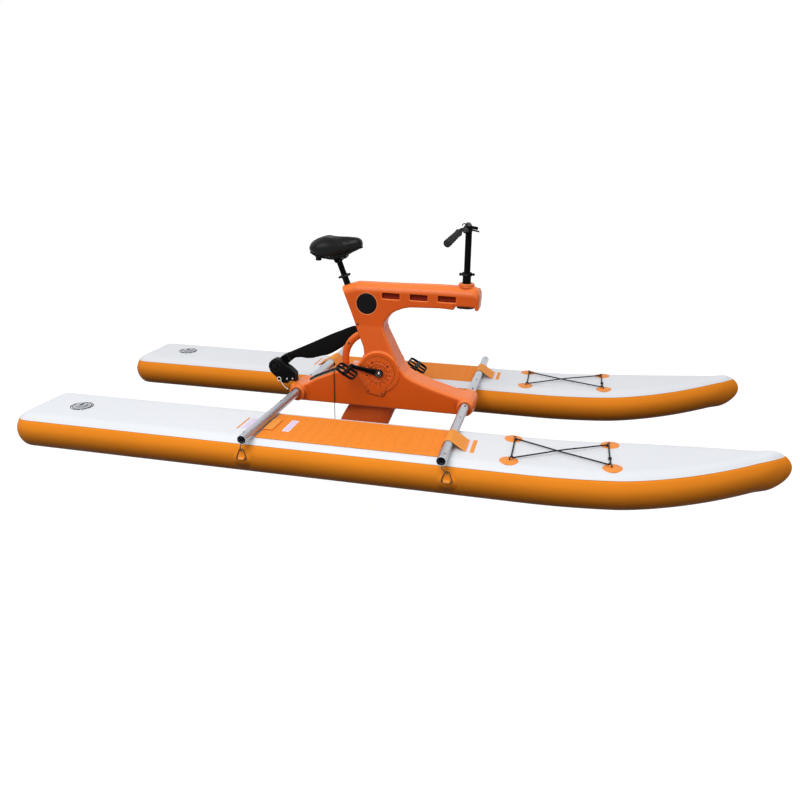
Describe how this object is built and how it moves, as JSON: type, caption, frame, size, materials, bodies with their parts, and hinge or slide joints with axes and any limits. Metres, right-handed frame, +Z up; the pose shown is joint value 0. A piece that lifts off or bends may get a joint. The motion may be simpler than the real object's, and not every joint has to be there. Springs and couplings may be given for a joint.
{
  "type": "water bike",
  "caption": "Pedal-driven water bike: moulded frame with saddle, handlebar, propeller leg and rudder, carried on inflatable floats by aluminium cross tubes.",
  "frame": {"origin": "on the centre plane, directly under the crank axle, at the height of the floats' flat undersides", "axes": "+X forward, +Y to the rider's left, +Z up"},
  "size_m": [4.0725, 1.784, 1.6552],
  "materials": {
    "float_fabric": "satin PVC fabric",
    "deck_foam": "soft foam",
    "strap_fabric": "bonded webbing",
    "body_plastic": "moulded, satin",
    "black_plastic": "satin",
    "black_rubber": "matte",
    "tube_alloy": "anodised",
    "bar_alloy": "painted black",
    "steel": "plain",
    "cushion": "vinyl over foam",
    "black_cord": "braided",
    "white_cord": "braided"
  },
  "bodies": {
    "hull": {"main_body": "body_plastic", "drive_leg": "body_plastic", "front_cross_tube": "tube_alloy", "rear_cross_tube": "tube_alloy", "pod_seal": "black_plastic", "seat_collar": "black_plastic", "rudder_bracket": "black_plastic", "steering_cable": "black_cord", "rudder_lanyard": "white_cord", "trailing_cord": "black_cord", "right_float": "float_fabric", "right_deck_pad": "deck_foam", "right_bungee": "black_cord", "right_front_strap": "strap_fabric", "right_rear_strap": "strap_fabric", "right_gear_cover": "body_plastic", "right_side_disc": "black_plastic", "right_axle_bearing": "steel", "left_float": "float_fabric", "left_deck_pad": "deck_foam", "left_bungee": "black_cord", "left_front_strap": "strap_fabric", "left_rear_strap": "strap_fabric", "left_gear_cover": "body_plastic", "left_side_disc": "black_plastic", "left_axle_bearing": "steel"},
    "crankset": {"crank_axle": "steel", "drive_gear": "steel", "right_crank": "bar_alloy", "left_crank": "bar_alloy"},
    "right_pedal_unit": {"right_pedal": "black_plastic"},
    "left_pedal_unit": {"left_pedal": "black_plastic"},
    "drive_shaft_unit": {"drive_shaft": "steel"},
    "propeller_unit": {"propeller_shaft": "steel", "propeller": "black_plastic"},
    "steering_column": {"steerer": "bar_alloy", "steering_arm": "black_plastic"},
    "handlebar_unit": {"bar_post": "bar_alloy", "stem": "bar_alloy", "handlebar": "bar_alloy", "right_grip": "black_rubber", "left_grip": "black_rubber"},
    "bar_lever_unit": {"bar_lever": "black_plastic"},
    "seat_unit": {"seat_post": "bar_alloy", "saddle_rails": "steel", "saddle_base": "black_plastic", "saddle_cushion": "cushion"},
    "seat_lever_unit": {"seat_lever": "black_plastic"},
    "rudder_head_unit": {"rudder_head": "black_plastic"},
    "rudder_blade_unit": {"rudder_blade": "black_plastic"},
    "right_front_button_unit": {"right_front_button": "steel"},
    "right_front_ring_unit": {"right_front_ring": "steel"},
    "right_rear_button_unit": {"right_rear_button": "steel"},
    "right_rear_ring_unit": {"right_rear_ring": "steel"},
    "right_valve_cap_unit": {"right_valve_cap": "black_plastic"},
    "left_front_button_unit": {"left_front_button": "steel"},
    "left_front_ring_unit": {"left_front_ring": "steel"},
    "left_rear_button_unit": {"left_rear_button": "steel"},
    "left_rear_ring_unit": {"left_rear_ring": "steel"},
    "left_valve_cap_unit": {"left_valve_cap": "black_plastic"}
  },
  "joints": [
    {"name": "crank_spin", "type": "hinge", "parent": "hull", "child": "crankset", "pos_m": [0, 0, 0.386], "axis": [0, 1, 0], "continuous": true},
    {"name": "right_pedal_spin", "type": "hinge", "parent": "crankset", "child": "right_pedal_unit", "pos_m": [-0.16742, -0.175, 0.41552], "axis": [0, 1, 0], "continuous": true},
    {"name": "left_pedal_spin", "type": "hinge", "parent": "crankset", "child": "left_pedal_unit", "pos_m": [0.16742, 0.175, 0.35648], "axis": [0, 1, 0], "continuous": true},
    {"name": "drive_shaft_spin", "type": "hinge", "parent": "hull", "child": "drive_shaft_unit", "pos_m": [0, 0, 0.386], "axis": [-0.2079, 0, -0.9781], "continuous": true},
    {"name": "propeller_spin", "type": "hinge", "parent": "hull", "child": "propeller_unit", "pos_m": [-0.13519, 0, -0.25], "axis": [1, 0, 0], "continuous": true},
    {"name": "steering", "type": "hinge", "parent": "hull", "child": "steering_column", "pos_m": [0.483, 0, 0.8], "axis": [0, 0, 1], "range_deg": [-38, 38]},
    {"name": "bar_height", "type": "slide", "parent": "steering_column", "child": "handlebar_unit", "axis": [0, 0, 1], "range_m": [-0.03, 0.07]},
    {"name": "bar_lever_turn", "type": "hinge", "parent": "steering_column", "child": "bar_lever_unit", "pos_m": [0.4485, 0, 0.976], "axis": [0, -1, 0], "range_deg": [0, 150]},
    {"name": "seat_height", "type": "slide", "parent": "hull", "child": "seat_unit", "axis": [-0.3502, 0, 0.9367], "range_m": [-0.04, 0.09]},
    {"name": "seat_lever_turn", "type": "hinge", "parent": "hull", "child": "seat_lever_unit", "pos_m": [-0.2067, 0, 0.943], "axis": [0, 1, 0], "range_deg": [0, 150]},
    {"name": "rudder_flip", "type": "hinge", "parent": "hull", "child": "rudder_head_unit", "pos_m": [-0.681, 0.058, 0.35], "axis": [0, -1, 0], "range_deg": [0, 243]},
    {"name": "rudder_yaw", "type": "hinge", "parent": "rudder_head_unit", "child": "rudder_blade_unit", "pos_m": [-0.56339, 0.058, 0.40993], "axis": [0.891, 0, 0.454], "range_deg": [-28, 28]},
    {"name": "right_front_button_press", "type": "slide", "parent": "hull", "child": "right_front_button_unit", "axis": [-0.342, 0, -0.9397], "range_m": [0, 0.004], "stiffness_N_per_m": 600, "springref_m": -0.001},
    {"name": "right_front_ring_swing", "type": "hinge", "parent": "hull", "child": "right_front_ring_unit", "pos_m": [0.543, -0.8575, 0.102], "axis": [1, 0, 0], "range_deg": [0, 80]},
    {"name": "right_rear_button_press", "type": "slide", "parent": "hull", "child": "right_rear_button_unit", "axis": [0.342, 0, -0.9397], "range_m": [0, 0.004], "stiffness_N_per_m": 600, "springref_m": -0.001},
    {"name": "right_rear_ring_swing", "type": "hinge", "parent": "hull", "child": "right_rear_ring_unit", "pos_m": [-0.543, -0.8575, 0.102], "axis": [1, 0, 0], "range_deg": [0, 80]},
    {"name": "right_valve_cap_turn", "type": "hinge", "parent": "hull", "child": "right_valve_cap_unit", "pos_m": [-1.656, -0.612, 0.2073], "axis": [0, 0, 1], "range_deg": [0, 90]},
    {"name": "left_front_button_press", "type": "slide", "parent": "hull", "child": "left_front_button_unit", "axis": [-0.342, 0, -0.9397], "range_m": [0, 0.004], "stiffness_N_per_m": 600, "springref_m": -0.001},
    {"name": "left_front_ring_swing", "type": "hinge", "parent": "hull", "child": "left_front_ring_unit", "pos_m": [0.543, 0.8575, 0.102], "axis": [-1, 0, 0], "range_deg": [0, 80]},
    {"name": "left_rear_button_press", "type": "slide", "parent": "hull", "child": "left_rear_button_unit", "axis": [0.342, 0, -0.9397], "range_m": [0, 0.004], "stiffness_N_per_m": 600, "springref_m": -0.001},
    {"name": "left_rear_ring_swing", "type": "hinge", "parent": "hull", "child": "left_rear_ring_unit", "pos_m": [-0.543, 0.8575, 0.102], "axis": [-1, 0, 0], "range_deg": [0, 80]},
    {"name": "left_valve_cap_turn", "type": "hinge", "parent": "hull", "child": "left_valve_cap_unit", "pos_m": [-1.656, 0.612, 0.2073], "axis": [0, 0, 1], "range_deg": [0, 90]}
  ],
  "couplings": [
    {"joint": "drive_shaft_spin", "follows": "crank_spin", "ratio": -3},
    {"joint": "propeller_spin", "follows": "crank_spin", "ratio": 3.6},
    {"joint": "rudder_yaw", "follows": "steering", "ratio": 0.7}
  ]
}
